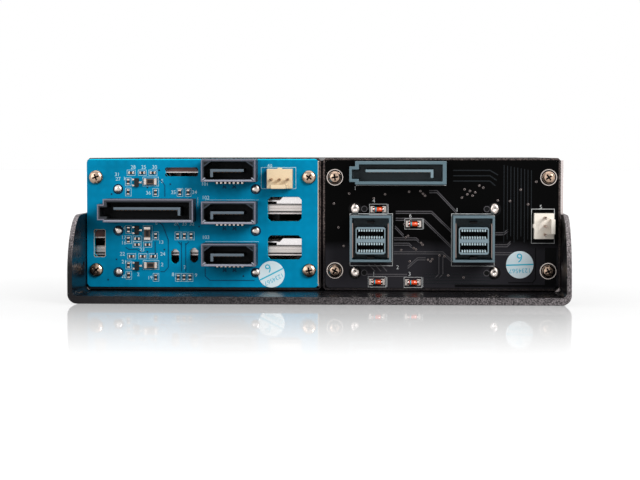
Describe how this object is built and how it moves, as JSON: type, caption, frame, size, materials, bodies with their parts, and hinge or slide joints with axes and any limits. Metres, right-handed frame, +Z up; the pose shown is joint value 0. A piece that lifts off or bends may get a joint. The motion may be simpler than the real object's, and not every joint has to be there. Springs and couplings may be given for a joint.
{
  "type": "hot swap drive cage",
  "caption": "Half-height 5.25-inch bay cage with sliding 2.5-inch drive trays behind latched levers, two backplane boards and a guarded rear tray.",
  "frame": {"origin": "centre of the underside's bounding rectangle", "axes": "+X across towards the SATA half, +Y towards the rear sockets, +Z up"},
  "size_m": [0.146, 0.15, 0.0423],
  "materials": {
    "black_sheet": "gloss black powder coat",
    "case_steel": "satin black coat on sheet steel",
    "bright_steel": "zinc-plated sheet",
    "black_plastic": "fine texture",
    "button_plastic": "smooth",
    "blue_board": "blue solder mask on glass laminate",
    "black_board": "black solder mask on glass laminate",
    "dark_socket": "moulded",
    "teal_socket": "moulded",
    "cream_header": "moulded",
    "white_header": "moulded",
    "inner_socket": "moulded",
    "nickel": "nickel plate",
    "solder": "solder",
    "resistor": "ceramic chip",
    "capacitor": "ceramic chip",
    "transistor": "moulded",
    "diode_glass": "orange glass",
    "pin_metal": "tinned"
  },
  "bodies": {
    "cage": {"outer_tray": "black_sheet", "front_frame": "black_plastic", "sata_case": "case_steel", "sata_divider_1": "bright_steel", "sata_divider_2": "bright_steel", "sata_drive_socket_1": "inner_socket", "sata_drive_socket_2": "inner_socket", "sata_drive_socket_3": "inner_socket", "nvme_case": "case_steel", "nvme_divider_1": "bright_steel", "nvme_drive_socket_1": "inner_socket", "nvme_drive_socket_2": "inner_socket", "sata_backplane": "blue_board", "nvme_backplane": "black_board", "sata_power_socket": "dark_socket", "sata_data_socket_1": "dark_socket", "sata_data_socket_2": "dark_socket", "sata_data_socket_3": "dark_socket", "sata_fan_header": "cream_header", "sata_socket_pegs": "solder", "resistors": "resistor", "capacitors": "capacitor", "transistors": "transistor", "nvme_power_socket": "teal_socket", "mini_sas_socket_1": "teal_socket", "mini_sas_socket_2": "teal_socket", "nvme_fan_header": "white_header", "nvme_socket_pegs": "solder", "diodes": "diode_glass", "fan_header_pins": "pin_metal", "board_screws": "nickel"},
    "sata_tray_1": {"sata_tray_1_sled": "bright_steel", "sata_tray_1_bezel": "black_plastic", "sata_tray_1_hinge_pin": "nickel"},
    "sata_tray_1_lever_arm": {"sata_tray_1_lever": "black_plastic"},
    "sata_tray_1_button": {"sata_tray_1_latch_button": "button_plastic"},
    "sata_tray_2": {"sata_tray_2_sled": "bright_steel", "sata_tray_2_bezel": "black_plastic", "sata_tray_2_hinge_pin": "nickel"},
    "sata_tray_2_lever_arm": {"sata_tray_2_lever": "black_plastic"},
    "sata_tray_2_button": {"sata_tray_2_latch_button": "button_plastic"},
    "sata_tray_3": {"sata_tray_3_sled": "bright_steel", "sata_tray_3_bezel": "black_plastic", "sata_tray_3_hinge_pin": "nickel"},
    "sata_tray_3_lever_arm": {"sata_tray_3_lever": "black_plastic"},
    "sata_tray_3_button": {"sata_tray_3_latch_button": "button_plastic"},
    "nvme_tray_1": {"nvme_tray_1_sled": "bright_steel", "nvme_tray_1_bezel": "black_plastic", "nvme_tray_1_hinge_pin": "nickel"},
    "nvme_tray_1_lever_arm": {"nvme_tray_1_lever": "black_plastic"},
    "nvme_tray_1_button": {"nvme_tray_1_latch_button": "button_plastic"},
    "nvme_tray_2": {"nvme_tray_2_sled": "bright_steel", "nvme_tray_2_bezel": "black_plastic", "nvme_tray_2_hinge_pin": "nickel"},
    "nvme_tray_2_lever_arm": {"nvme_tray_2_lever": "black_plastic"},
    "nvme_tray_2_button": {"nvme_tray_2_latch_button": "button_plastic"}
  },
  "joints": [
    {"name": "sata_tray_1_slide", "type": "slide", "parent": "cage", "child": "sata_tray_1", "axis": [0, -1, 0], "range_m": [0, 0.125]},
    {"name": "sata_tray_1_lever_hinge", "type": "hinge", "parent": "sata_tray_1", "child": "sata_tray_1_lever_arm", "pos_m": [0.06645, -0.0726, 0.0093], "axis": [0, 0, 1], "range_deg": [0, 65]},
    {"name": "sata_tray_1_latch", "type": "slide", "parent": "sata_tray_1", "child": "sata_tray_1_button", "axis": [0, 1, 0], "range_m": [0, 0.0015], "stiffness_N_per_m": 300, "springref_m": -0.001},
    {"name": "sata_tray_2_slide", "type": "slide", "parent": "cage", "child": "sata_tray_2", "axis": [0, -1, 0], "range_m": [0, 0.125]},
    {"name": "sata_tray_2_lever_hinge", "type": "hinge", "parent": "sata_tray_2", "child": "sata_tray_2_lever_arm", "pos_m": [0.06645, -0.0726, 0.0219], "axis": [0, 0, 1], "range_deg": [0, 65]},
    {"name": "sata_tray_2_latch", "type": "slide", "parent": "sata_tray_2", "child": "sata_tray_2_button", "axis": [0, 1, 0], "range_m": [0, 0.0015], "stiffness_N_per_m": 300, "springref_m": -0.001},
    {"name": "sata_tray_3_slide", "type": "slide", "parent": "cage", "child": "sata_tray_3", "axis": [0, -1, 0], "range_m": [0, 0.125]},
    {"name": "sata_tray_3_lever_hinge", "type": "hinge", "parent": "sata_tray_3", "child": "sata_tray_3_lever_arm", "pos_m": [0.06645, -0.0726, 0.0345], "axis": [0, 0, 1], "range_deg": [0, 65]},
    {"name": "sata_tray_3_latch", "type": "slide", "parent": "sata_tray_3", "child": "sata_tray_3_button", "axis": [0, 1, 0], "range_m": [0, 0.0015], "stiffness_N_per_m": 300, "springref_m": -0.001},
    {"name": "nvme_tray_1_slide", "type": "slide", "parent": "cage", "child": "nvme_tray_1", "axis": [0, -1, 0], "range_m": [0, 0.125]},
    {"name": "nvme_tray_1_lever_hinge", "type": "hinge", "parent": "nvme_tray_1", "child": "nvme_tray_1_lever_arm", "pos_m": [-0.00535, -0.0726, 0.01255], "axis": [0, 0, 1], "range_deg": [0, 65]},
    {"name": "nvme_tray_1_latch", "type": "slide", "parent": "nvme_tray_1", "child": "nvme_tray_1_button", "axis": [0, 1, 0], "range_m": [0, 0.0015], "stiffness_N_per_m": 300, "springref_m": -0.001},
    {"name": "nvme_tray_2_slide", "type": "slide", "parent": "cage", "child": "nvme_tray_2", "axis": [0, -1, 0], "range_m": [0, 0.125]},
    {"name": "nvme_tray_2_lever_hinge", "type": "hinge", "parent": "nvme_tray_2", "child": "nvme_tray_2_lever_arm", "pos_m": [-0.00535, -0.0726, 0.03165], "axis": [0, 0, 1], "range_deg": [0, 65]},
    {"name": "nvme_tray_2_latch", "type": "slide", "parent": "nvme_tray_2", "child": "nvme_tray_2_button", "axis": [0, 1, 0], "range_m": [0, 0.0015], "stiffness_N_per_m": 300, "springref_m": -0.001}
  ]
}
